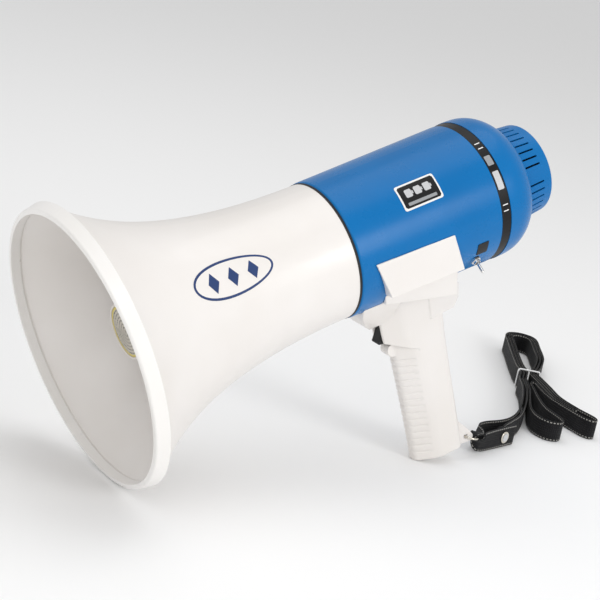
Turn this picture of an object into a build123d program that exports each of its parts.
from build123d import *
import os
from math import atan2, cos, dist, radians, sin, sqrt

# Hand-held megaphone, millimetres.  It stands on its mouth rim and on the toe of its handle.
# Everything but the strap is drawn in the bore frame: x runs along the bore from the mouth
# to the microphone, y to the right of somebody speaking into it, z up from the bore.

# ---------------------------------------------------------------- driving dimensions
MOUTH_R = 114.0
RIM_BACK_R = 116.5
RIM_LENGTH = 10.9
RIM_EDGE_R = 2.0
BELL_WALL = 2.4
BELL_LENGTH = 221.0
THROAT_R = 58.2
GASKET_LENGTH = 2.0
BODY_FRONT_R = 59.0
BODY_BACK_R = 61.1
BODY_BACK_X = 363.4
BODY_WALL = 2.5
BAND_LENGTH = 9.0
COVER_X = 373.0
COVER_BACK_X = 406.0
CAP_R = 41.6
CAP_BACK_X = 437.0
TURNING_GAP = 0.3

GRIP_FOOT_Z = -231.5
GRIP_TOE_X = 287.0
GRIP_HEEL_X = 334.0
GRIP_HALF_WIDTH = 16.5
HANDLE_WALL = 2.6
GRIP_GROOVES = 15
GROOVE_PITCH = 6.9

TRIGGER_PIVOT = (280.0, -85.5)
SWITCH_ANGLE = 35.0
SWITCH_X = 340.0
LUG_HOLE = (346.6, -234.3)
RING_R = 7.0
RING_WIRE_R = 0.9

STRAP_WIDTH = 20.0
STRAP_THICK = 1.8
STRAP_PITCH = 3.4

# ---------------------------------------------------------------- how it stands
# The rim and the toe have the same edge radius, so the floor is parallel to the line
# through the centres of the two edges.
RIM_SLOPE = (RIM_BACK_R - MOUTH_R) / RIM_LENGTH
RIM_EDGE_AT = (
    RIM_EDGE_R,
    MOUTH_R + RIM_SLOPE * RIM_EDGE_R - RIM_EDGE_R * sqrt(1 + RIM_SLOPE**2),
)
TOE_EDGE_AT = (GRIP_TOE_X + RIM_EDGE_R, GRIP_FOOT_Z + RIM_EDGE_R)
TILT = atan2(-TOE_EDGE_AT[1] - RIM_EDGE_AT[1], TOE_EDGE_AT[0] - RIM_EDGE_AT[0])
BORE_X = -188.0
BORE_Z = RIM_EDGE_R + RIM_EDGE_AT[1] * cos(TILT) - RIM_EDGE_AT[0] * sin(TILT)

BORE_DIR = Vector(cos(TILT), 0, sin(TILT))
UP_DIR = Vector(-sin(TILT), 0, cos(TILT))
BORE_ORIGIN = Vector(BORE_X, 0, BORE_Z)
SIDE = Plane(origin=BORE_ORIGIN, x_dir=BORE_DIR, z_dir=(0, -1, 0))
BORE_AXIS = Axis(BORE_ORIGIN, BORE_DIR)


def at(x, y, z):
    """The point at x, y, z of the bore frame."""
    return BORE_ORIGIN + BORE_DIR * x + Vector(0, y, 0) + UP_DIR * z


def across(x):
    """The plane square to the bore at x: its x is the object's y, and its y is up."""
    return Plane(origin=at(x, 0, 0), x_dir=(0, 1, 0), z_dir=BORE_DIR)


def level(z):
    """The plane parallel to the bore at height z: its x is along the bore."""
    return Plane(origin=at(0, 0, z), x_dir=BORE_DIR, z_dir=UP_DIR)


def outward(x, angle, radius, side=-1):
    """A plane facing straight out of the bore at x, angle degrees below level on one side."""
    a = radians(angle)
    out = Vector(0, side * cos(a), 0) - UP_DIR * sin(a)
    return Plane(origin=at(x, 0, 0) + out * radius, x_dir=BORE_DIR, z_dir=out)


def outline(points, plane=SIDE):
    """The flat face inside a closed outline of straight lines."""
    with BuildSketch(plane) as sketch:
        with BuildLine():
            Polyline(*points, close=True)
        make_face()
    return sketch.sketch


def rings(*spans):
    """Plain ring sections, each (front x, back x, inner radius, outer radius)."""
    faces = [outline([(a, r), (b, r), (b, s), (a, s)]) for a, b, r, s in spans]
    return faces


def circles(x, circle_r, count, radius, start=45):
    """Discs square to the bore at x, evenly spaced round it."""
    with BuildSketch(across(x)) as sketch:
        with PolarLocations(circle_r, count, start):
            Circle(radius)
    return sketch.sketch


def save(node, name):
    """Labels a finished piece and writes its file."""
    node.part.label = name
    export_step(node.part, f"parts/{name}.step")


os.makedirs("parts", exist_ok=True)

# ---------------------------------------------------------------- horn
# The flare, as points of its outer face, and the same face one wall further in.
FLARE = [
    (RIM_LENGTH, 113.5),
    (32.0, 98.2),
    (68.0, 80.2),
    (110.0, 68.0),
    (160.0, 60.6),
    (BELL_LENGTH, THROAT_R),
]
FLARE_INSIDE = [(x - BELL_WALL * 0.5, r - BELL_WALL * 1.1) for x, r in FLARE[:3]]
FLARE_INSIDE += [(x, r - BELL_WALL) for x, r in FLARE[3:]]
SEAT_FRONT = 4.0
SEAT_R = 113.8
LIP_R = 110.0

with BuildPart() as horn_bell:
    with BuildSketch(SIDE):
        with BuildLine():
            Spline(*FLARE, tangents=[(1, -0.85), (1, 0)], tangent_scalars=[1, 1])
            Line(FLARE[-1], FLARE_INSIDE[-1])
            Spline(*FLARE_INSIDE, tangents=[(1, -0.85), (1, 0)], tangent_scalars=[1, 1])
            Line(FLARE_INSIDE[0], (SEAT_FRONT, FLARE_INSIDE[0][1]))
            Line((SEAT_FRONT, FLARE_INSIDE[0][1]), (SEAT_FRONT, SEAT_R))
            Line((SEAT_FRONT, SEAT_R), FLARE[0])
        make_face()
    revolve(axis=BORE_AXIS)
save(horn_bell, "horn_bell")

# The rim is a moulded ring with a channel that grips the edge of the bell.
with BuildPart() as horn_rim:
    with BuildSketch(SIDE) as rim_section:
        with BuildLine():
            Polyline(
                (0, LIP_R),
                (0, MOUTH_R),
                (RIM_LENGTH, RIM_BACK_R),
                (RIM_LENGTH, FLARE[0][1]),
                (SEAT_FRONT, SEAT_R),
                (SEAT_FRONT, FLARE_INSIDE[0][1]),
                (FLARE_INSIDE[0][0] - 1.0, FLARE_INSIDE[0][1]),
                (FLARE_INSIDE[0][0] - 2.0, LIP_R),
                close=True,
            )
        make_face()
        fillet(rim_section.vertices().group_by(Axis.X)[0].sort_by(Axis.Y)[-1], RIM_EDGE_R)
    revolve(axis=BORE_AXIS)
save(horn_rim, "horn_rim")

# ---------------------------------------------------------------- reflex plug and tone arm
PLUG_FRONT_X = 40.0
PLUG_BACK_X = 150.0
BADGE_R = 21.0
ARM_R = 13.0
ARM_WALL = 2.0
ARM_FLANGE_X = 205.0
DRIVER_X = ARM_FLANGE_X + 3.0
SCREW_CIRCLE_R = 43.0
PLUG_WALL = 2.2

with BuildPart() as reflex_plug:
    with BuildSketch(SIDE):
        with BuildLine():
            Polyline(
                (PLUG_FRONT_X + 1.2, 0),
                (PLUG_FRONT_X + 1.2, BADGE_R),
                (PLUG_FRONT_X, BADGE_R),
                (PLUG_FRONT_X, BADGE_R + 1.5),
            )
            Spline((PLUG_FRONT_X, BADGE_R + 1.5), (PLUG_FRONT_X + 22, 27.5), (PLUG_BACK_X, 36))
            Line((PLUG_BACK_X, 36), (PLUG_BACK_X, 36 - PLUG_WALL))
            Spline(
                (PLUG_BACK_X, 36 - PLUG_WALL),
                (PLUG_FRONT_X + 22, 27.5 - PLUG_WALL),
                (PLUG_FRONT_X + 5, BADGE_R - PLUG_WALL),
            )
            Polyline(
                (PLUG_FRONT_X + 5, BADGE_R - PLUG_WALL),
                (PLUG_FRONT_X + 1.2 + PLUG_WALL, 0),
                (PLUG_FRONT_X + 1.2, 0),
            )
        make_face()
    revolve(axis=BORE_AXIS)
save(reflex_plug, "reflex_plug")

with BuildPart() as plug_badge:
    with BuildSketch(across(PLUG_FRONT_X + 0.4)):
        Circle(BADGE_R - 0.3)
    extrude(amount=0.8)
save(plug_badge, "plug_badge")

# Three ribs on the tone arm carry the plug, and its flange closes the back of the bell.
with BuildPart() as tone_arm:
    for face in rings(
        (75.0, ARM_FLANGE_X, ARM_R - ARM_WALL, ARM_R),
        (ARM_FLANGE_X, DRIVER_X, ARM_R - ARM_WALL, THROAT_R - BELL_WALL),
        (DRIVER_X, BELL_LENGTH + 12, THROAT_R - BELL_WALL - 2.2, THROAT_R - BELL_WALL),
    ):
        revolve(face, axis=BORE_AXIS)
    extrude(circles(ARM_FLANGE_X, SCREW_CIRCLE_R, 4, 1.5), amount=3, mode=Mode.SUBTRACT)
    for turn in (90, 210, 330):
        rib = outline([(118, ARM_R - 0.5), (142, ARM_R - 0.5), (148, 33.5), (124, 29.5)])
        ribs = extrude(rib, amount=1.1, both=True, mode=Mode.PRIVATE)
        add(ribs.rotate(BORE_AXIS, turn))
save(tone_arm, "tone_arm")

# ---------------------------------------------------------------- driver unit
MAGNET_R = 36.0
COIL_X = DRIVER_X + 10.0
MAGNET_X = COIL_X + 4.0
YOKE_X = MAGNET_X + 14.0

with BuildPart() as driver_basket:
    for face in rings((DRIVER_X, DRIVER_X + 4, ARM_R - ARM_WALL, 47), (DRIVER_X + 4, COIL_X, 34, 38)):
        revolve(face, axis=BORE_AXIS)
    extrude(circles(DRIVER_X, SCREW_CIRCLE_R, 4, 1.5), amount=4, mode=Mode.SUBTRACT)
save(driver_basket, "driver_basket")

with BuildPart() as driver_screws:
    extrude(circles(DRIVER_X + 4, SCREW_CIRCLE_R, 4, 3.0), amount=2.2)
    extrude(circles(DRIVER_X - 2.5, SCREW_CIRCLE_R, 4, 1.5), amount=6.5)
save(driver_screws, "driver_screws")

with BuildPart() as driver_diaphragm:
    dome = [(COIL_X - 5.0, 0), (COIL_X - 4.7, 5.0), (COIL_X - 3.6, 10.5), (COIL_X - 0.6, 17.0)]
    dome += [(COIL_X - 0.6, 33.8), (COIL_X, 33.8), (COIL_X, 16.4), (COIL_X - 4.4, 0)]
    revolve(outline(dome), axis=BORE_AXIS)
save(driver_diaphragm, "driver_diaphragm")

with BuildPart() as voice_coil:
    for face in rings((COIL_X, COIL_X + 6, 12.6, 13.2)):
        revolve(face, axis=BORE_AXIS)
save(voice_coil, "voice_coil")

with BuildPart() as driver_top_plate:
    for face in rings((COIL_X, MAGNET_X, 13.6, MAGNET_R - 1)):
        revolve(face, axis=BORE_AXIS)
save(driver_top_plate, "driver_top_plate")

with BuildPart() as driver_magnet:
    for face in rings((MAGNET_X, YOKE_X, 18, MAGNET_R)):
        revolve(face, axis=BORE_AXIS)
save(driver_magnet, "driver_magnet")

with BuildPart() as driver_yoke:
    for face in rings((COIL_X + 1, YOKE_X, 0, 12.2), (YOKE_X, YOKE_X + 4, 0, MAGNET_R - 2)):
        revolve(face, axis=BORE_AXIS)
save(driver_yoke, "driver_yoke")

# ---------------------------------------------------------------- body
BODY_X = BELL_LENGTH + GASKET_LENGTH
BODY_TAPER = (BODY_BACK_R - BODY_FRONT_R) / (BODY_BACK_X - BODY_X)
BAND_SEAT_R = 57.8
SLEEVE_R = 55.0
SADDLE_SCREW_XS = (252.0, 300.0)
BUSHING_R = 3.0
HOLDER_PLATES = ((248.0, 250.0), (301.0, 302.5), (353.0, 355.0))
RAIL_TIP_Y = 39.0
RAIL_THICK = 2.4
BOARD_Z = -47.0
BOARD_THICK = 1.6
BOARD_X = (260.0, 346.0)
BOARD_HALF = 28.0
BOARD_MIDDLE = (BOARD_X[0] + BOARD_X[1]) / 2
POST_XS = (266.0, 340.0)
POST_Y = 23.0
POST_FOOT_Z = -53.4


def body_r(x):
    """The outer radius of the body at x."""
    return BODY_FRONT_R + BODY_TAPER * (x - BODY_X)


with BuildPart() as joint_gasket:
    for face in rings((BELL_LENGTH, BODY_X, 52.5, THROAT_R + 0.3)):
        revolve(face, axis=BORE_AXIS)
    for face in rings((BELL_LENGTH, BODY_X, 52.5, THROAT_R - BELL_WALL)):
        revolve(face, axis=BORE_AXIS, mode=Mode.SUBTRACT)
save(joint_gasket, "joint_gasket")

with BuildPart() as body_shell:
    with BuildSketch(SIDE) as body_section:
        with BuildLine():
            Polyline(
                (BODY_X, BODY_FRONT_R - BODY_WALL),
                (BODY_X, BODY_FRONT_R),
                (BODY_BACK_X, BODY_BACK_R),
                (BODY_BACK_X, BAND_SEAT_R),
                (COVER_X - 0.4, BAND_SEAT_R),
                (COVER_X - 0.4, SLEEVE_R + TURNING_GAP),
                (BODY_BACK_X - 5, SLEEVE_R + TURNING_GAP),
                (BODY_BACK_X - 9, BODY_BACK_R - BODY_WALL),
                close=True,
            )
        make_face()
        fillet(body_section.vertices().group_by(Axis.X)[0].sort_by(Axis.Y)[-1], 2.3)
    revolve(axis=BORE_AXIS)
    for side in (-1, 1):
        with BuildSketch(outward(SWITCH_X, SWITCH_ANGLE, 50, side)):
            Circle(BUSHING_R)
        extrude(amount=20, mode=Mode.SUBTRACT)
        with BuildSketch(across(HOLDER_PLATES[0][0])):
            with Locations((side * (RAIL_TIP_Y + BODY_FRONT_R) / 2, 0)):
                Rectangle(BODY_FRONT_R - RAIL_TIP_Y, RAIL_THICK)
        extrude(amount=HOLDER_PLATES[-1][0] - 0.6 - HOLDER_PLATES[0][0])
    with BuildSketch(level(POST_FOOT_Z)):
        with Locations((BOARD_MIDDLE, 0)):
            with GridLocations(POST_XS[1] - POST_XS[0], 2 * POST_Y, 2, 2):
                Circle(2.6)
    extrude(amount=BOARD_Z - POST_FOOT_Z)
    for x in SADDLE_SCREW_XS:
        with BuildSketch(level(-body_r(x) - 4)):
            with Locations((x, 0)):
                Circle(1.6)
        extrude(amount=10, mode=Mode.SUBTRACT)
    with BuildSketch(level(-body_r(276) - 4)):
        with Locations((276, 0)):
            RectangleRounded(14, 10, 3)
    extrude(amount=10, mode=Mode.SUBTRACT)
save(body_shell, "body_shell")

with BuildPart() as saddle_screws:
    for x in SADDLE_SCREW_XS:
        inside_r = body_r(x) - BODY_WALL
        with BuildSketch(level(-inside_r + 0.3)):
            with Locations((x, 0)):
                Circle(3.2)
        extrude(amount=2.0)
        with BuildSketch(level(-inside_r - 10)):
            with Locations((x, 0)):
                Circle(1.6)
        extrude(amount=10.3)
save(saddle_screws, "saddle_screws")

# ---------------------------------------------------------------- lock band
with BuildPart() as lock_band:
    with BuildSketch(SIDE):
        with BuildLine():
            Polyline(
                (BODY_BACK_X + 0.3, BAND_SEAT_R + TURNING_GAP),
                (BODY_BACK_X + 0.3, BODY_BACK_R - 0.2),
                (BODY_BACK_X + 0.3 + BAND_LENGTH, BODY_BACK_R),
                (BODY_BACK_X + 0.3 + BAND_LENGTH, BAND_SEAT_R + TURNING_GAP),
                close=True,
            )
        make_face()
    revolve(axis=BORE_AXIS)
save(lock_band, "lock_band")

# ---------------------------------------------------------------- rear cover and microphone
COVER_R = 61.5
COVER_WALL = 2.4
SHOULDER_X = 378.0
SHOULDER_R = 45.5
MIC_X = 412.0

with BuildPart() as rear_cover:
    with BuildSketch(SIDE):
        with BuildLine():
            Line((COVER_X, SLEEVE_R - COVER_WALL), (COVER_X - 20, SLEEVE_R - COVER_WALL))
            Line((COVER_X - 20, SLEEVE_R - COVER_WALL), (COVER_X - 20, SLEEVE_R))
            Line((COVER_X - 20, SLEEVE_R), (COVER_X, SLEEVE_R))
            Line((COVER_X, SLEEVE_R), (COVER_X, COVER_R))
            Line((COVER_X, COVER_R), (SHOULDER_X, COVER_R))
            Spline(
                (SHOULDER_X, COVER_R),
                (SHOULDER_X + 15, COVER_R - 2.7),
                (COVER_BACK_X - 1.0, SHOULDER_R + 4),
                (COVER_BACK_X, SHOULDER_R),
                tangents=[(1, 0), (0, -1)],
            )
            Line((COVER_BACK_X, SHOULDER_R), (COVER_BACK_X, 30))
            Line((COVER_BACK_X, 30), (COVER_BACK_X - COVER_WALL, 30))
            Line((COVER_BACK_X - COVER_WALL, 30), (COVER_BACK_X - COVER_WALL, SHOULDER_R - 1))
            Spline(
                (COVER_BACK_X - COVER_WALL, SHOULDER_R - 1),
                (SHOULDER_X + 14, COVER_R - 2.7 - COVER_WALL),
                (SHOULDER_X, COVER_R - COVER_WALL),
            )
            Line((SHOULDER_X, COVER_R - COVER_WALL), (COVER_X + COVER_WALL, COVER_R - COVER_WALL))
            Line((COVER_X + COVER_WALL, COVER_R - COVER_WALL), (COVER_X + COVER_WALL, SLEEVE_R - COVER_WALL))
            Line((COVER_X + COVER_WALL, SLEEVE_R - COVER_WALL), (COVER_X, SLEEVE_R - COVER_WALL))
        make_face()
    revolve(axis=BORE_AXIS)
save(rear_cover, "rear_cover")

CAP_WALL = 2.0
SLOT_GROUPS = 4
SLOTS_PER_GROUP = 8
SLOT_STEP = 9.6
SLOT_WIDTH = 1.6
SLOT_FRONT_X = 409.0
SLOT_LENGTH = 18.0
FIRST_GROUP_AT = 61.0


def slot_angles():
    """The angles of the cap's slots, up from level on the left side."""
    half = SLOT_STEP * (SLOTS_PER_GROUP - 1) / 2
    groups = [FIRST_GROUP_AT + 360 / SLOT_GROUPS * g for g in range(SLOT_GROUPS)]
    return [centre - half + SLOT_STEP * i for centre in groups for i in range(SLOTS_PER_GROUP)]


with BuildPart() as mic_cap:
    with BuildSketch(SIDE) as cap_section:
        with BuildLine():
            Polyline(
                (COVER_BACK_X, CAP_R - CAP_WALL),
                (COVER_BACK_X, CAP_R),
                (CAP_BACK_X, CAP_R - 2.6),
                (CAP_BACK_X, 0),
                (CAP_BACK_X - CAP_WALL, 0),
                (CAP_BACK_X - CAP_WALL, CAP_R - 2.4 - CAP_WALL),
                close=True,
            )
        make_face()
        fillet(cap_section.vertices().group_by(Axis.X)[-1].sort_by(Axis.Y)[-1], 3.2)
    revolve(axis=BORE_AXIS)
    for angle in slot_angles():
        with BuildSketch(outward(SLOT_FRONT_X + SLOT_LENGTH / 2, -angle, CAP_R - 6)):
            SlotOverall(SLOT_LENGTH, SLOT_WIDTH)
        extrude(amount=10, mode=Mode.SUBTRACT)
    with BuildSketch(across(CAP_BACK_X - 4)):
        for ring_r, count in ((9, 6), (18, 12), (27, 18)):
            with PolarLocations(ring_r, count):
                SlotOverall(6.0, SLOT_WIDTH)
    extrude(amount=8, mode=Mode.SUBTRACT)
save(mic_cap, "mic_cap")

with BuildPart() as mic_foam:
    for face in rings((CAP_BACK_X - 14, CAP_BACK_X - 3, 0, 34)):
        revolve(face, axis=BORE_AXIS)
    for face in rings((CAP_BACK_X - 14, CAP_BACK_X - 8, 0, 9.2)):
        revolve(face, axis=BORE_AXIS, mode=Mode.SUBTRACT)
save(mic_foam, "mic_foam")

with BuildPart() as mic_capsule:
    for face in rings((MIC_X, CAP_BACK_X - 8, 0, 9.0), (MIC_X - 1.5, MIC_X, 0, 7.0)):
        revolve(face, axis=BORE_AXIS)
save(mic_capsule, "mic_capsule")

with BuildPart() as mic_holder:
    for face in rings(
        (COVER_BACK_X - COVER_WALL, COVER_BACK_X, 9.0, 29.8),
        (COVER_BACK_X, CAP_BACK_X - 15, 9.0, 11.5),
    ):
        revolve(face, axis=BORE_AXIS)
save(mic_holder, "mic_holder")

# ---------------------------------------------------------------- battery holder and cells
CELL_R = 12.9
CELL_LENGTH = 49.0
CELL_OFFSET = 13.6
CELL_XS = (251.5, 303.0)
HOLDER_HALF = 42.0
HOLDER_HEIGHT = 64.0
NOTCH_Y = RAIL_TIP_Y - 0.5

with BuildPart() as battery_holder:
    for front_x, back_x in HOLDER_PLATES:
        with BuildSketch(across(front_x)):
            RectangleRounded(2 * HOLDER_HALF, HOLDER_HEIGHT, 14)
            with Locations((-HOLDER_HALF, 0), (HOLDER_HALF, 0)):
                Rectangle(2 * (HOLDER_HALF - NOTCH_Y), RAIL_THICK + 0.8, mode=Mode.SUBTRACT)
        extrude(amount=back_x - front_x)
    with BuildSketch(across(HOLDER_PLATES[0][1])):
        Rectangle(1.2, 56)
    extrude(amount=HOLDER_PLATES[2][0] - HOLDER_PLATES[0][1])
save(battery_holder, "battery_holder")

CELL_SIDES = (-CELL_OFFSET, CELL_OFFSET)
cell_places = [(x, y, z) for x in CELL_XS for y in CELL_SIDES for z in CELL_SIDES]
for number, (x, y, z) in enumerate(cell_places, start=1):
    with BuildPart() as battery_cell:
        with BuildSketch(across(x)):
            with Locations((y, z)):
                Circle(CELL_R)
        extrude(amount=CELL_LENGTH - 1.0)
        with BuildSketch(across(x + CELL_LENGTH - 1.0)):
            with Locations((y, z)):
                Circle(3.2)
        extrude(amount=0.7)
    save(battery_cell, f"battery_cell_{number}")

with BuildPart() as contact_plates:
    for x in (HOLDER_PLATES[0][1], HOLDER_PLATES[2][0] - 0.6):
        with BuildSketch(across(x)):
            with Locations((-CELL_OFFSET, 0), (CELL_OFFSET, 0)):
                Rectangle(12, 44)
        extrude(amount=0.6)
save(contact_plates, "contact_plates")

# ---------------------------------------------------------------- amplifier

with BuildPart() as amplifier_board:
    with BuildSketch(level(BOARD_Z)):
        with Locations((BOARD_MIDDLE, 0)):
            Rectangle(BOARD_X[1] - BOARD_X[0], 2 * BOARD_HALF)
            with GridLocations(POST_XS[1] - POST_XS[0], 2 * POST_Y, 2, 2):
                Circle(1.2, mode=Mode.SUBTRACT)
    extrude(amount=BOARD_THICK)
save(amplifier_board, "amplifier_board")

with BuildPart() as output_transformer:
    with BuildSketch(level(BOARD_Z + BOARD_THICK)):
        with Locations((280, 0)):
            Rectangle(24, 20)
    extrude(amount=11)
    with BuildSketch(level(BOARD_Z + BOARD_THICK)):
        with Locations((280, 0)):
            Rectangle(15, 30)
    extrude(amount=9)
save(output_transformer, "output_transformer")

with BuildPart() as heat_sink:
    with BuildSketch(level(BOARD_Z + BOARD_THICK)):
        with Locations((312, -14)):
            Rectangle(24, 3)
        for step in range(4):
            with Locations((303 + 6 * step, -8)):
                Rectangle(1.6, 10)
    extrude(amount=12)
save(heat_sink, "heat_sink")

with BuildPart() as amplifier_capacitors:
    with BuildSketch(level(BOARD_Z + BOARD_THICK)):
        with Locations((306, 14), (320, 14), (332, 12)):
            Circle(4.5)
    extrude(amount=11)
save(amplifier_capacitors, "amplifier_capacitors")

# ---------------------------------------------------------------- handle
SADDLE_HALF = 61.3
WEDGE_TOP_HALF = 51.5
WEDGE_HALF = 45.0
CHEEK = [(236.5, 3.0), (314.5, 1.0), (321.0, -33.0), (247.5, -31.0)]
WEDGE_TOP = ((247.0, -28.0), (322.0, -31.0))
WEDGE_LOW = ((251.0, -44.5), (322.0, -63.0))
TAIL = [(312.0, -55.0), (331.0, -57.0), (344.5, -70.0), (342.5, -83.0), (336.5, -91.0), (312.0, -92.5)]
TAIL_HALF = 18.0
PROW = ((-30.0, 231.0, 49.0), (-60.0, 238.0, 28.0), (-83.0, 254.5, 9.0))
PROW_BACK_X = 275.0
# Each level cut of the neck and the grip: z, front x, back x, half width of the nose, half
# width, radius of the back corners.  The sides widen from the nose over NOSE_RUN.
NOSE_RUN = 19.0
NECK_NOSE_R = 1.5
SIDE_R = 22.0
NECK = (
    (-45.0, 262.7, 328.0, 8.0, 17.5, 8.0),
    (-118.0, 269.6, 329.3, 8.0, GRIP_HALF_WIDTH, 8.5),
)
NECK_UNDERCUT = [(250.0, -94.7), (268.2, -103.0), (298.0, -116.7), (298.0, -125.0), (250.0, -125.0)]
GRIP_NOSE_R = 7.0
GRIP = (
    (-100.0, 276.6, 329.0, 5.0, GRIP_HALF_WIDTH, 8.5),
    (-122.0, 278.6, 329.6, 5.0, GRIP_HALF_WIDTH, 8.5),
    (-175.0, 283.4, 332.0, 5.0, GRIP_HALF_WIDTH, 8.5),
    (GRIP_FOOT_Z, GRIP_TOE_X, GRIP_HEEL_X, 5.0, GRIP_HALF_WIDTH, 8.0),
)
BULGE = (278.5, -114.0)
BULGE_R = 6.5
BULGE_HALF = 5.5
TRIGGER_HALF = 5.0
TRIGGER = [
    (275.0, -82.8),
    (263.2, -103.6),
    (272.0, -104.6),
    (281.0, -104.0),
    (290.0, -99.0),
    (290.0, -94.5),
    (284.0, -90.0),
    (283.5, -80.5),
]
TRIGGER_SLOT = [(252.0, -86.0), (270.0, -81.0), (276.0, -78.5), (282.0, -78.5), (282.0, -108.4)]
TRIGGER_SLOT += [(268.0, -108.4), (252.0, -104.0)]
PIN_R = 1.5
PIN_LENGTH = 24.0
HANDLE_SCREWS = ((309.0, -140.0), (312.0, -205.0), (328.0, -73.0))
BOSS_R = 4.4
SCREW_R = 1.5
SCREW_HEAD_R = 2.9
SWITCH_SCREW_R = 1.0
HEAD_SEAT = Location((0, 10, 0))


def grip_section(cut, nose_r, inset=0.0):
    """One level cut through the neck or the grip, with a narrow nose in front."""
    z, front_x, back_x, nose, half_width, corner = cut
    front, back, half, tip = front_x + inset, back_x - inset, half_width - inset, nose - 0.6 * inset
    shoulder = front_x + NOSE_RUN
    with BuildSketch(level(z)) as sketch:
        with BuildLine():
            Polyline((front, -tip), (shoulder, -half), (back, -half), (back, half), (shoulder, half),
                     (front, tip), close=True)
        make_face()
        fillet(sketch.vertices().group_by(Axis.X)[0], nose_r)
        fillet(sketch.vertices().group_by(Axis.X)[-1], corner - inset)
        fillet(sketch.vertices().filter_by_position(Axis.X, shoulder - 0.1, shoulder + 0.1), SIDE_R)
    return sketch.sketch


def disc_on_side(centre, radius):
    """A disc in the plane of symmetry, for a pin or boss that runs from side to side."""
    with BuildSketch(SIDE) as sketch:
        with Locations(centre):
            Circle(radius)
    return sketch.sketch


def grip_front(z):
    """The x of the grip's front face at height z."""
    for high, low in zip(GRIP, GRIP[1:]):
        if high[0] >= z >= low[0]:
            return high[1] + (low[1] - high[1]) * (z - high[0]) / (low[0] - high[0])
    return GRIP[0][1]


def slope_section(start, end, half_width):
    """A rectangle from side to side, whose long edges run from start to end in the side view."""
    front = at(start[0], 0, start[1])
    back = at(end[0], 0, end[1])
    run = back - front
    plane = Plane(origin=(front + back) * 0.5, x_dir=run, z_dir=run.cross(Vector(0, 1, 0)))
    with BuildSketch(plane) as sketch:
        Rectangle(run.length, 2 * half_width)
    return sketch.sketch


with BuildPart() as body_form:
    revolve(outline([(200, 0), (200, body_r(200)), (400, body_r(400)), (400, 0)]), BORE_AXIS)

with BuildPart() as neck_form:
    loft([grip_section(cut, NECK_NOSE_R) for cut in NECK])
    extrude(outline(NECK_UNDERCUT), amount=20, both=True, mode=Mode.SUBTRACT)

with BuildPart() as handle_form:
    extrude(outline(CHEEK), amount=SADDLE_HALF, both=True)
    extrude(outline(TAIL), amount=TAIL_HALF, both=True)
    loft([slope_section(*WEDGE_TOP, WEDGE_TOP_HALF), slope_section(*WEDGE_LOW, WEDGE_HALF)])
    loft([slope_section((x, z), (PROW_BACK_X, z), half) for z, x, half in PROW])
    loft([grip_section(cut, GRIP_NOSE_R) for cut in GRIP])
    extrude(disc_on_side(BULGE, BULGE_R), amount=BULGE_HALF, both=True)
    add(neck_form.part)
    add(body_form.part, mode=Mode.SUBTRACT)

GROOVE_TOP_Z = -126.0
GROOVE_WIDTH = 2.2
GROOVE_REACH = 17.0
GROOVE_INSIDE = ((0.9, 3.0), (2.4, 5.0), (8.0, 8.6), (13.0, 11.9), (18.0, 16.4))
CAVITY_TOP = (-77.0, 270.0, 324.0, 5.0, 14.5, 6.0)
CAVITY_NOSE_R = 3.0
CAVITY_FLOOR_Z = GRIP_FOOT_Z + 3.0
LUG_SLOT_HALF = 1.5

# The finger grooves: at each level, what lies outside a slightly smaller front outline.
with BuildPart() as groove_cutters:
    for number in range(GRIP_GROOVES):
        z = GROOVE_TOP_Z - GROOVE_PITCH * number
        front_x = grip_front(z)
        with BuildSketch(level(z - GROOVE_WIDTH / 2)):
            with Locations((front_x, 0)):
                Rectangle(2 * GROOVE_REACH, 44)
            with BuildLine():
                far_side = [(front_x + x, y) for x, y in GROOVE_INSIDE]
                near_side = [(front_x + x, -y) for x, y in GROOVE_INSIDE[::-1]]
                Polyline(*far_side, *near_side, close=True)
            make_face(mode=Mode.SUBTRACT)
        extrude(amount=GROOVE_WIDTH)

LUG = [(328.0, -208.0), (341.0, -216.0), (351.5, -229.5), (355.0, -236.0), (354.0, -241.0)]
LUG += [(342.0, -240.0), (328.0, -230.0)]
SWITCH_X_RANGE = (293.0, 303.0)
SWITCH_Z_RANGE = (-112.0, -92.0)
SWITCH_HALF = 3.2
SWITCH_HOLES = ((300.5, -96.5), (300.5, -107.5))

with BuildPart() as handle_cavity:
    grip_void_top = grip_section(GRIP[1], CAVITY_NOSE_R, HANDLE_WALL)
    loft([grip_section(CAVITY_TOP, CAVITY_NOSE_R), grip_void_top])
    foot = (CAVITY_FLOOR_Z,) + GRIP[3][1:]
    loft([grip_section(cut, CAVITY_NOSE_R, HANDLE_WALL) for cut in (GRIP[1], GRIP[2], foot)])
    cheek_void = outline([(240.5, 6), (312, 6), (317.5, -30.5), (251.5, -28.5)])
    extrude(cheek_void, amount=SADDLE_HALF - HANDLE_WALL, both=True)
    wedge_void_top = slope_section((251, -29), (318, -32), WEDGE_TOP_HALF - 3.4)
    loft([wedge_void_top, slope_section((256, -43), (318, -59), WEDGE_HALF - 3)])
    loft([slope_section((272, -40), (322, -40), 9), slope_section((274, -79), (322, -79), 9)])

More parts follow.
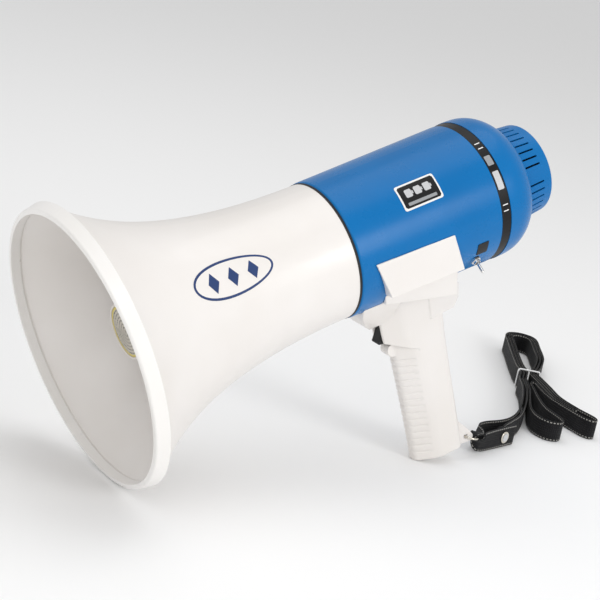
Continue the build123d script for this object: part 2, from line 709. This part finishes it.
with BuildPart() as handle_bosses:
    for centre in HANDLE_SCREWS:
        extrude(disc_on_side(centre, BOSS_R), amount=15.5, both=True)
    extrude(disc_on_side(TRIGGER_PIVOT, BOSS_R), amount=16, both=True)
    gap = disc_on_side(TRIGGER_PIVOT, BOSS_R + 1)
    extrude(gap, amount=TRIGGER_HALF + 0.5, both=True, mode=Mode.SUBTRACT)
    for centre in SWITCH_HOLES:
        extrude(disc_on_side(centre, 2.4), amount=15.5)
        extrude(disc_on_side(centre, 3), amount=SWITCH_HALF, mode=Mode.SUBTRACT)
    for x in SADDLE_SCREW_XS:
        boss_low = -body_r(x) - 9
        with BuildSketch(level(boss_low)):
            with Locations((x, 0)):
                Circle(4.0)
        extrude(amount=14)
        rib = outline([(x - 1.2, -50), (x + 1.2, -50), (x + 1.2, boss_low), (x - 1.2, boss_low)])
        extrude(rib, amount=50, both=True)
    add(handle_form.part, mode=Mode.INTERSECT)

with BuildPart() as handle_holes:
    for centre in HANDLE_SCREWS:
        extrude(disc_on_side(centre, SCREW_R), amount=12, both=True)
        extrude(disc_on_side(centre, SCREW_HEAD_R + 0.2).moved(HEAD_SEAT), amount=-30)
    extrude(disc_on_side(TRIGGER_PIVOT, PIN_R), amount=PIN_LENGTH / 2, both=True)
    for centre in SWITCH_HOLES:
        extrude(disc_on_side(centre, SWITCH_SCREW_R), amount=10)
    for x in SADDLE_SCREW_XS:
        with BuildSketch(level(-body_r(x) - 8)):
            with Locations((x, 0)):
                Circle(1.6)
        extrude(amount=14)
    extrude(outline(TRIGGER_SLOT), amount=TRIGGER_HALF + 0.4, both=True)
    extrude(outline(LUG), amount=LUG_SLOT_HALF, both=True)


with BuildPart() as handle_whole:
    add(handle_form.part)
    add(groove_cutters.part, mode=Mode.SUBTRACT)
    add(handle_cavity.part, mode=Mode.SUBTRACT)
    add(handle_bosses.part)
    add(handle_holes.part, mode=Mode.SUBTRACT)
    add(body_form.part, mode=Mode.SUBTRACT)

with BuildPart() as handle_left:
    add(handle_whole.part)
    split(bisect_by=Plane.XZ, keep=Keep.TOP)
save(handle_left, "handle_left")

with BuildPart() as handle_right:
    add(handle_whole.part)
    split(bisect_by=Plane.XZ, keep=Keep.BOTTOM)
save(handle_right, "handle_right")

with BuildPart() as handle_screws:
    for centre in HANDLE_SCREWS:
        extrude(disc_on_side(centre, SCREW_HEAD_R).moved(HEAD_SEAT), amount=-2.2)
        extrude(disc_on_side(centre, SCREW_R).moved(HEAD_SEAT), amount=21)
save(handle_screws, "handle_screws")

# ---------------------------------------------------------------- trigger
RUNNING_FIT = 0.05
SPRING_R = 2.7
SPRING_WIRE_R = 0.35
SPRING_FROM_Y = 1.6
SPRING_TURNS = 3.5
TRIGGER_POCKET_R = 3.6

with BuildPart() as trigger:
    extrude(outline(TRIGGER), amount=TRIGGER_HALF, both=True)
    fillet(trigger.edges().filter_by(Axis.Y).group_by(Axis.Z)[0], 1.5)
    pin_hole = disc_on_side(TRIGGER_PIVOT, PIN_R + RUNNING_FIT)
    extrude(pin_hole, amount=TRIGGER_HALF, both=True, mode=Mode.SUBTRACT)
    pocket = disc_on_side(TRIGGER_PIVOT, TRIGGER_POCKET_R).moved(Location((0, SPRING_FROM_Y - 0.4, 0)))
    extrude(pocket, amount=-TRIGGER_HALF, mode=Mode.SUBTRACT)
save(trigger, "trigger")

with BuildPart() as trigger_pin:
    extrude(disc_on_side(TRIGGER_PIVOT, PIN_R), amount=PIN_LENGTH / 2, both=True)
save(trigger_pin, "trigger_pin")

with BuildPart() as trigger_spring:
    spring_start = at(TRIGGER_PIVOT[0], SPRING_FROM_Y, TRIGGER_PIVOT[1])
    with BuildLine() as coil:
        Helix(
            pitch=0.8,
            height=0.8 * SPRING_TURNS,
            radius=SPRING_R,
            center=spring_start,
            direction=(0, 1, 0),
        )
    with BuildSketch(Plane(origin=coil.line @ 0, z_dir=coil.line % 0)):
        Circle(SPRING_WIRE_R)
    sweep(path=coil.line)
save(trigger_spring, "trigger_spring")

# ---------------------------------------------------------------- talk switch behind the trigger
PLUNGER_R = 1.2
PLUNGER_TIP_X = 291.2
PLUNGER_Z = -97.0

with BuildPart() as talk_switch_body:
    (front_x, back_x), (low_z, high_z) = SWITCH_X_RANGE, SWITCH_Z_RANGE
    switch_side = outline([(front_x, low_z), (back_x, low_z), (back_x, high_z), (front_x, high_z)])
    extrude(switch_side, amount=SWITCH_HALF, both=True)
    for centre in SWITCH_HOLES:
        extrude(disc_on_side(centre, SWITCH_SCREW_R), amount=SWITCH_HALF, both=True, mode=Mode.SUBTRACT)
    with BuildSketch(across(front_x)):
        with Locations((0, PLUNGER_Z)):
            Circle(PLUNGER_R + RUNNING_FIT)
    extrude(amount=5.5, mode=Mode.SUBTRACT)
save(talk_switch_body, "talk_switch_body")

with BuildPart() as talk_switch_plunger:
    with BuildSketch(across(PLUNGER_TIP_X)):
        with Locations((0, PLUNGER_Z)):
            Circle(PLUNGER_R)
    extrude(amount=5.2)
save(talk_switch_plunger, "talk_switch_plunger")

with BuildPart() as talk_switch_terminals:
    with BuildSketch(level(SWITCH_Z_RANGE[0])):
        with Locations((294.6, 0), (298, 0), (301.4, 0)):
            Rectangle(0.8, 3.6)
    extrude(amount=-4.5)
save(talk_switch_terminals, "talk_switch_terminals")

with BuildPart() as talk_switch_screws:
    switch_face = Location((0, SWITCH_HALF, 0))
    for centre in SWITCH_HOLES:
        extrude(disc_on_side(centre, 2.0).moved(switch_face), amount=-1.4)
        extrude(disc_on_side(centre, SWITCH_SCREW_R).moved(switch_face), amount=12)
save(talk_switch_screws, "talk_switch_screws")

# ---------------------------------------------------------------- toggle switch and volume control
SURFACE_R = body_r(SWITCH_X) + 0.12
TOGGLE_PIVOT_R = 64.0
TOGGLE_TILT = 12.0
TOGGLE_TIP_R = 75.0
TRUNNION_R = 0.7
TRUNNION_HALF = 1.6


def knob_plane(radius, side):
    """A plane square to the toggle (side -1) or to the volume control (side 1)."""
    return outward(SWITCH_X, SWITCH_ANGLE, radius, side)


with BuildPart() as toggle_body:
    with BuildSketch(knob_plane(43.0, -1)):
        Rectangle(13, 8)
    extrude(amount=12.5)
    with BuildSketch(knob_plane(39.0, -1)):
        with GridLocations(4.6, 1, 3, 1):
            Rectangle(0.8, 2.4)
    extrude(amount=4)
save(toggle_body, "toggle_body")

with BuildPart() as toggle_bushing:
    with BuildSketch(knob_plane(55.5, -1)):
        Circle(BUSHING_R)
    extrude(amount=9.5)
    with BuildSketch(knob_plane(61.0, -1)):
        Circle(2.3)
    extrude(amount=4, mode=Mode.SUBTRACT)
save(toggle_bushing, "toggle_bushing")

with BuildPart() as toggle_nut:
    with BuildSketch(knob_plane(SURFACE_R, -1)):
        RegularPolygon(4.0, 6, major_radius=False)
        Circle(BUSHING_R, mode=Mode.SUBTRACT)
    extrude(amount=2.0)
save(toggle_nut, "toggle_nut")

with BuildPart() as toggle_lever:
    tilted = knob_plane(TOGGLE_PIVOT_R, -1).rotated((0, TOGGLE_TILT, 0))
    with BuildSketch(tilted.offset(-2.0)):
        Circle(1.15)
    extrude(amount=2.0 + TOGGLE_TIP_R - TOGGLE_PIVOT_R, taper=-1.2)
    tip = toggle_lever.faces().sort_by(Axis(tilted.origin, tilted.z_dir))[-1]
    fillet(tip.edges(), 1.0)
    with BuildSketch(Plane(origin=tilted.origin, x_dir=tilted.x_dir, z_dir=tilted.y_dir)):
        Circle(TRUNNION_R)
    extrude(amount=TRUNNION_HALF, both=True)
save(toggle_lever, "toggle_lever")

with BuildPart() as volume_pot:
    with BuildSketch(knob_plane(44.0, 1)):
        Circle(8.0)
    extrude(amount=11)
    with BuildSketch(knob_plane(55.0, 1)):
        Circle(BUSHING_R)
    extrude(amount=7.4)
    with BuildSketch(knob_plane(57.0, 1)):
        Circle(PIN_R + RUNNING_FIT)
    extrude(amount=8, mode=Mode.SUBTRACT)
save(volume_pot, "volume_pot")

with BuildPart() as volume_nut:
    with BuildSketch(knob_plane(SURFACE_R, 1)):
        RegularPolygon(4.6, 6, major_radius=False)
        Circle(BUSHING_R, mode=Mode.SUBTRACT)
    extrude(amount=1.4)
save(volume_nut, "volume_nut")

with BuildPart() as volume_knob:
    with BuildSketch(knob_plane(62.8, 1)):
        Circle(9.0)
        with PolarLocations(9.3, 24):
            Circle(0.7, mode=Mode.SUBTRACT)
    extrude(amount=8.0)
    with BuildSketch(knob_plane(57.4, 1)):
        Circle(PIN_R)
    extrude(amount=5.4)
save(volume_knob, "volume_knob")

# ---------------------------------------------------------------- plates on the body
PLATE_THICK = 0.4


def body_skin(front_x, back_x):
    """The section of a thin skin that lies on the body."""
    low, high = body_r(front_x), body_r(back_x)
    top = [(back_x, high + PLATE_THICK), (front_x, low + PLATE_THICK)]
    return outline([(front_x, low), (back_x, high)] + top)


with BuildPart() as label_plate:
    with BuildSketch(outward(295.5, -42.85, body_r(295) - 4)):
        RectangleRounded(38.0, 22.2, 2.0)
    extrude(amount=8)
    revolved = revolve(body_skin(270, 320), axis=BORE_AXIS, mode=Mode.PRIVATE)
    add(revolved, mode=Mode.INTERSECT)
save(label_plate, "label_plate")

with BuildPart() as switch_label:
    with BuildSketch(outward(344.5, 23.5, body_r(344) - 3)):
        RectangleRounded(11.0, 12.6, 1.0)
    extrude(amount=6)
    revolved = revolve(body_skin(335, 355), axis=BORE_AXIS, mode=Mode.PRIVATE)
    add(revolved, mode=Mode.INTERSECT)
save(switch_label, "switch_label")

# ---------------------------------------------------------------- strap lug and ring
RING_DROP = 0.1

with BuildPart() as strap_lug:
    extrude(outline(LUG), amount=LUG_SLOT_HALF, both=True)
    extrude(disc_on_side(LUG_HOLE, 2.2), amount=LUG_SLOT_HALF, both=True, mode=Mode.SUBTRACT)
save(strap_lug, "strap_lug")

ring_dir = Vector(1, 0, -RING_DROP).normalized()
ring_centre = at(LUG_HOLE[0], 0, LUG_HOLE[1]) + ring_dir * RING_R
with BuildPart() as strap_ring:
    ring_plane = Plane(origin=ring_centre, x_dir=ring_dir, z_dir=ring_dir.cross(Vector(0, 1, 0)))
    with BuildLine(ring_plane) as ring_path:
        CenterArc((0, 0), RING_R, 0, 360)
    with BuildSketch(Plane(origin=ring_path.line @ 0, z_dir=ring_path.line % 0)):
        Circle(RING_WIRE_R)
    sweep(path=ring_path.line)
save(strap_ring, "strap_ring")

# ---------------------------------------------------------------- strap
# A folded hank of webbing that lies on its edge on the floor, drawn in plan.  Its two ends
# meet at the rivet.  From the tie, three laps run up to the far bend, and two doubled
# strands and a lobe fan out towards the handle.
TIE_AT = (435.0, 150.0)
HANK_TURN = radians(55.6)
LAP_BEND_A = 130.0
LAP_BEND_P = 4.0
LAP_BEND_R = 17.0


def hank(a, p):
    """The plan point a beyond the tie along the hank and p to its right."""
    x = TIE_AT[0] + cos(HANK_TURN) * a + sin(HANK_TURN) * p
    y = TIE_AT[1] + sin(HANK_TURN) * a - cos(HANK_TURN) * p
    return (x, y)


def lap(number, start_p, end_p):
    """Once round the far bend, up the left and down the right; lap 0 is the outermost."""
    inset = STRAP_PITCH * number
    bend_r = LAP_BEND_R - inset
    left = [(0, start_p), (24, inset - 13), (70, inset - 13.5), (112, inset - 13)]
    turns = [-80, -45, 0, 45, 80]
    bend = [(LAP_BEND_A + bend_r * cos(radians(t)), LAP_BEND_P + bend_r * sin(radians(t))) for t in turns]
    right = [(100, 21.3 - inset), (60, 20.3 - inset), (24, 12.5 - inset), (0, end_p)]
    return [hank(a, p) for a, p in left + bend + right]


STRAP_ROUTE = [(300, 18), (283, 14.2), (262, 8.8), (250, 5), (243.5, 4.4), (239.2, 8.6), (242.5, 14)]
STRAP_ROUTE += [(253, 21.5), (272, 29.5), (291, 31), (304, 34.5), (323, 45), (350, 68), (376, 95)]
STRAP_ROUTE += [(396, 119), hank(-20, -14.5)]
STRAP_ROUTE += lap(0, -11, 6)
STRAP_ROUTE += [hank(-20, 10), (424, 107), (413.5, 80), (410.5, 50), (411, 27), (408, 21)]
STRAP_ROUTE += [(402.3, 20.8), (399.2, 27), (399.2, 50), (401.6, 78), (408.8, 103)]
STRAP_ROUTE += [hank(-35.5, 1.3), hank(-33.2, 0.7), hank(-32, -1.6), hank(-33.2, -3.9), hank(-35.5, -4.5)]
STRAP_ROUTE += [(403, 110), (387, 84), (374, 58), (369.5, 36), (366, 24), (357, 19), (348, 24)]
STRAP_ROUTE += [(346, 38), (353, 56), (372, 80), (395, 107), hank(-20, -8)]
STRAP_ROUTE += lap(2, -4.2, -0.8)
STRAP_ROUTE += [hank(-20, 3.2), (415.8, 106), (405.8, 79), (403.3, 55), (403.3, 50.3), (403.9, 49)]
STRAP_ROUTE += [(405.2, 48.4), (406.5, 49), (407.1, 50.3), (407.1, 55), (409.4, 79.4), (419.8, 106.5)]
STRAP_ROUTE += [hank(-20, 6.6)]
STRAP_ROUTE += lap(1, -7.6, 2.6)[::-1]
STRAP_ROUTE += [hank(-20, -11.2), (397.5, 115), (378, 91.5), (352, 64.5), (325, 41.5), (306, 30.5)]
STRAP_ROUTE += [(291, 22.5), (283, 17.6), (270, 14.4)]
RIVET_AT = (283.0, 14.2, STRAP_WIDTH / 2)
RIVET_TURN = 14.5
RIVET_CAP_R = 5.75
RIVET_SHANK_R = 2.0
RIVET_CAP_HIGH = 1.3
PLY_GAP = 4.4
TIE_WIRE_R = 0.8
TIE_LEFT = -13.8
TIE_RIGHT = 8.8

rivet_face = Plane(
    origin=RIVET_AT,
    x_dir=(cos(radians(RIVET_TURN)), sin(radians(RIVET_TURN)), 0),
    z_dir=(sin(radians(RIVET_TURN)), -cos(radians(RIVET_TURN)), 0),
)
tie_plane = Plane(
    origin=(*TIE_AT, 0),
    x_dir=(-sin(HANK_TURN), cos(HANK_TURN), 0),
    z_dir=(cos(HANK_TURN), sin(HANK_TURN), 0),
)


def ribbon(points, thick, substeps):
    """The plan of a band that follows a smooth line through the points."""
    with BuildLine() as middle:
        Spline(*points)
    path = middle.edges()[0]
    reach = [0.0]
    for start, end in zip(points, points[1:]):
        reach.append(reach[-1] + dist(start, end))
    places = [0.0]
    for low, high in zip(reach, reach[1:]):
        places += [low + (high - low) * (step + 1) / substeps for step in range(substeps)]
    left, right = [], []
    for place in places:
        along = path % (place / reach[-1])
        aside = Vector(-along.Y, along.X) * (thick / 2)
        left.append((path @ (place / reach[-1])) + aside)
        right.append((path @ (place / reach[-1])) - aside)
    return outline(left + right[::-1], Plane.XY)


with BuildPart() as strap:
    extrude(ribbon(STRAP_ROUTE, STRAP_THICK, 3), amount=STRAP_WIDTH)
    with BuildSketch(rivet_face):
        Circle(RIVET_SHANK_R + 0.1)
    extrude(amount=PLY_GAP + 3, both=True, mode=Mode.SUBTRACT)
    with BuildSketch(tie_plane):
        Rectangle(34, 4 * TIE_WIRE_R + 0.6)
    extrude(amount=1.6, both=True, mode=Mode.SUBTRACT)
save(strap, "strap")

with BuildPart() as strap_rivet:
    with BuildSketch(rivet_face.offset(STRAP_THICK / 2 + 0.4)):
        Circle(RIVET_CAP_R)
    extrude(amount=RIVET_CAP_HIGH)
    fillet(strap_rivet.faces().sort_by(Axis(rivet_face.origin, rivet_face.z_dir))[-1].edges(), 0.8)
    with BuildSketch(rivet_face.offset(STRAP_THICK / 2 + 0.4)):
        Circle(RIVET_SHANK_R)
    extrude(amount=-PLY_GAP - 3.2)
save(strap_rivet, "strap_rivet")

with BuildPart() as rivet_washer:
    with BuildSketch(rivet_face.offset(-PLY_GAP - 1.2)):
        Circle(4.2)
        Circle(RIVET_SHANK_R, mode=Mode.SUBTRACT)
    extrude(amount=-0.9)
save(rivet_washer, "rivet_washer")

with BuildPart() as strap_tie:
    low, high = TIE_WIRE_R, STRAP_WIDTH + TIE_WIRE_R + 0.4
    with BuildLine(tie_plane) as tie_path:
        FilletPolyline(
            (-TIE_RIGHT, low), (-TIE_LEFT, low), (-TIE_LEFT, high), (-TIE_RIGHT, high), radius=2.0, close=True
        )
    with BuildSketch(Plane(origin=tie_path.line @ 0, z_dir=tie_path.line % 0)):
        Circle(TIE_WIRE_R)
    sweep(path=tie_path.line)
save(strap_tie, "strap_tie")
